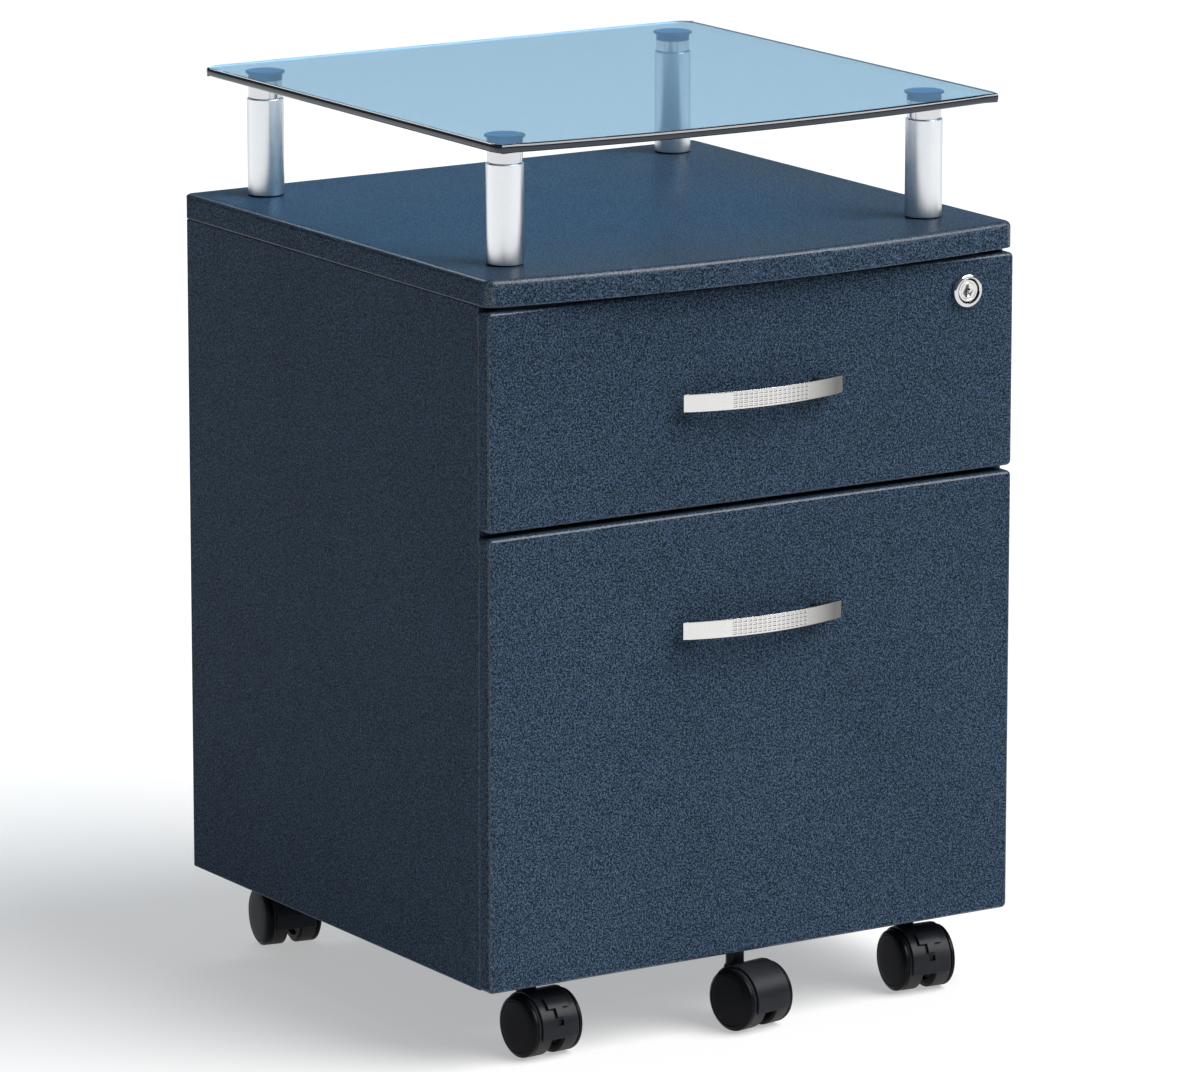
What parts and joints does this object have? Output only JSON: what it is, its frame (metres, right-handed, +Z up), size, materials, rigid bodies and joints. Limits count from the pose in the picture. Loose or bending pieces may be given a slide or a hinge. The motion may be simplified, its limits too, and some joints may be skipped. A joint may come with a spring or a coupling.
{
  "type": "rolling pedestal cabinet",
  "caption": "Rolling pedestal with a bowed top, a raised glass shelf on metal posts, a lockable box drawer above a file drawer, bow handles and twin-wheel casters.",
  "frame": {"origin": "centre of the bounding box's footprint, on the floor under the wheels", "axes": "+Z up, +Y towards the back, drawer fronts face -Y, +X to the right seen from the front"},
  "size_m": [0.413, 0.413, 0.615],
  "materials": {
    "graphite_lacquer": "board lacquered dark graphite blue with fine metallic flecks, semi-gloss",
    "shelf_glass": "clear blue-tinted float glass with polished pencil edges",
    "satin_aluminium": "satin turned aluminium",
    "satin_nickel": "satin nickel plate",
    "chrome": "bright polished chrome",
    "caster_hood": "black moulded nylon, low sheen",
    "caster_tread": "black moulded nylon wheels, smooth",
    "drawer_board": "grey melamine-faced board",
    "slide_enamel": "off-white epoxy-coated steel runners with nylon rollers",
    "zinc_steel": "zinc-plated pressed steel"
  },
  "bodies": {
    "cabinet": {"left_side_panel": "graphite_lacquer", "right_side_panel": "graphite_lacquer", "top_panel": "graphite_lacquer", "bottom_panel": "graphite_lacquer", "back_panel": "graphite_lacquer", "lock_rail": "zinc_steel", "glass_shelf": "shelf_glass", "post_front_left": "satin_aluminium", "collar_front_left": "chrome", "post_front_right": "satin_aluminium", "collar_front_right": "chrome", "post_rear_left": "satin_aluminium", "collar_rear_left": "chrome", "post_rear_right": "satin_aluminium", "collar_rear_right": "chrome", "box_slide_left_cabinet": "slide_enamel", "box_slide_right_cabinet": "slide_enamel", "file_slide_left_cabinet": "slide_enamel", "file_slide_right_cabinet": "slide_enamel"},
    "box_drawer": {"box_front": "graphite_lacquer", "box_handle": "satin_nickel", "box_side_left": "drawer_board", "box_side_right": "drawer_board", "box_back": "drawer_board", "box_bottom": "drawer_board", "box_slide_left_drawer": "slide_enamel", "box_slide_right_drawer": "slide_enamel", "lock_housing": "chrome"},
    "lock_barrel": {"lock_plug": "satin_nickel", "lock_cam": "zinc_steel"},
    "file_drawer": {"file_front": "graphite_lacquer", "file_handle": "satin_nickel", "file_side_left": "drawer_board", "file_side_right": "drawer_board", "file_back": "drawer_board", "file_bottom": "drawer_board", "file_slide_left_drawer": "slide_enamel", "file_slide_right_drawer": "slide_enamel", "hanging_rail_left": "zinc_steel", "hanging_rail_right": "zinc_steel", "centre_caster_socket": "zinc_steel"},
    "caster_front_left": {"caster_front_left_hood": "caster_hood"},
    "caster_front_left_wheel_left": {"caster_front_left_wheel_left": "caster_tread"},
    "caster_front_left_wheel_right": {"caster_front_left_wheel_right": "caster_tread"},
    "caster_front_left_brake": {"caster_front_left_brake": "caster_hood"},
    "caster_front_right": {"caster_front_right_hood": "caster_hood"},
    "caster_front_right_wheel_left": {"caster_front_right_wheel_left": "caster_tread"},
    "caster_front_right_wheel_right": {"caster_front_right_wheel_right": "caster_tread"},
    "caster_front_right_brake": {"caster_front_right_brake": "caster_hood"},
    "caster_rear_left": {"caster_rear_left_hood": "caster_hood"},
    "caster_rear_left_wheel_left": {"caster_rear_left_wheel_left": "caster_tread"},
    "caster_rear_left_wheel_right": {"caster_rear_left_wheel_right": "caster_tread"},
    "caster_rear_right": {"caster_rear_right_hood": "caster_hood"},
    "caster_rear_right_wheel_left": {"caster_rear_right_wheel_left": "caster_tread"},
    "caster_rear_right_wheel_right": {"caster_rear_right_wheel_right": "caster_tread"},
    "caster_centre": {"caster_centre_hood": "caster_hood"},
    "caster_centre_wheel_left": {"caster_centre_wheel_left": "caster_tread"},
    "caster_centre_wheel_right": {"caster_centre_wheel_right": "caster_tread"}
  },
  "joints": [
    {"name": "box_drawer_slide", "type": "slide", "parent": "cabinet", "child": "box_drawer", "axis": [0, -1, 0], "range_m": [0, 0.26]},
    {"name": "file_drawer_slide", "type": "slide", "parent": "cabinet", "child": "file_drawer", "axis": [0, -1, 0], "range_m": [0, 0.26]},
    {"name": "lock_turn", "type": "hinge", "parent": "box_drawer", "child": "lock_barrel", "pos_m": [0.167, -0.1655, 0.485], "axis": [0, 1, 0], "range_deg": [0, 90]},
    {"name": "caster_front_left_swivel", "type": "hinge", "parent": "cabinet", "child": "caster_front_left", "pos_m": [-0.1515, -0.1435, 0.054], "axis": [0, 0, 1], "continuous": true},
    {"name": "caster_front_left_roll_left", "type": "hinge", "parent": "caster_front_left", "child": "caster_front_left_wheel_left", "pos_m": [-0.15038, -0.15946, 0.021], "axis": [0.9976, 0.0698, 0], "continuous": true},
    {"name": "caster_front_left_roll_right", "type": "hinge", "parent": "caster_front_left", "child": "caster_front_left_wheel_right", "pos_m": [-0.15038, -0.15946, 0.021], "axis": [0.9976, 0.0698, 0], "continuous": true},
    {"name": "caster_front_left_brake_press", "type": "hinge", "parent": "caster_front_left", "child": "caster_front_left_brake", "pos_m": [-0.1495, -0.17212, 0.04054], "axis": [-0.9976, -0.0698, 0], "range_deg": [0, 14]},
    {"name": "caster_front_right_swivel", "type": "hinge", "parent": "cabinet", "child": "caster_front_right", "pos_m": [0.1515, -0.1435, 0.054], "axis": [0, 0, 1], "continuous": true},
    {"name": "caster_front_right_roll_left", "type": "hinge", "parent": "caster_front_right", "child": "caster_front_right_wheel_left", "pos_m": [0.15011, -0.15944, 0.021], "axis": [0.9962, -0.0872, 0], "continuous": true},
    {"name": "caster_front_right_roll_right", "type": "hinge", "parent": "caster_front_right", "child": "caster_front_right_wheel_right", "pos_m": [0.15011, -0.15944, 0.021], "axis": [0.9962, -0.0872, 0], "continuous": true},
    {"name": "caster_front_right_brake_press", "type": "hinge", "parent": "caster_front_right", "child": "caster_front_right_brake", "pos_m": [0.149, -0.17208, 0.04054], "axis": [-0.9962, 0.0872, 0], "range_deg": [0, 14]},
    {"name": "caster_rear_left_swivel", "type": "hinge", "parent": "cabinet", "child": "caster_rear_left", "pos_m": [-0.1515, 0.1865, 0.054], "axis": [0, 0, 1], "continuous": true},
    {"name": "caster_rear_left_roll_left", "type": "hinge", "parent": "caster_rear_left", "child": "caster_rear_left_wheel_left", "pos_m": [-0.154, 0.1707, 0.021], "axis": [0.9877, -0.1564, 0], "continuous": true},
    {"name": "caster_rear_left_roll_right", "type": "hinge", "parent": "caster_rear_left", "child": "caster_rear_left_wheel_right", "pos_m": [-0.154, 0.1707, 0.021], "axis": [0.9877, -0.1564, 0], "continuous": true},
    {"name": "caster_rear_right_swivel", "type": "hinge", "parent": "cabinet", "child": "caster_rear_right", "pos_m": [0.1515, 0.1865, 0.054], "axis": [0, 0, 1], "continuous": true},
    {"name": "caster_rear_right_roll_left", "type": "hinge", "parent": "caster_rear_right", "child": "caster_rear_right_wheel_left", "pos_m": [0.15317, 0.17059, 0.021], "axis": [0.9945, 0.1045, 0], "continuous": true},
    {"name": "caster_rear_right_roll_right", "type": "hinge", "parent": "caster_rear_right", "child": "caster_rear_right_wheel_right", "pos_m": [0.15317, 0.17059, 0.021], "axis": [0.9945, 0.1045, 0], "continuous": true},
    {"name": "caster_centre_swivel", "type": "hinge", "parent": "file_drawer", "child": "caster_centre", "pos_m": [0, -0.1635, 0.054], "axis": [0, 0, 1], "continuous": true},
    {"name": "caster_centre_roll_left", "type": "hinge", "parent": "caster_centre", "child": "caster_centre_wheel_left", "pos_m": [0.00278, -0.17926, 0.021], "axis": [0.9848, 0.1736, 0], "continuous": true},
    {"name": "caster_centre_roll_right", "type": "hinge", "parent": "caster_centre", "child": "caster_centre_wheel_right", "pos_m": [0.00278, -0.17926, 0.021], "axis": [0.9848, 0.1736, 0], "continuous": true}
  ]
}
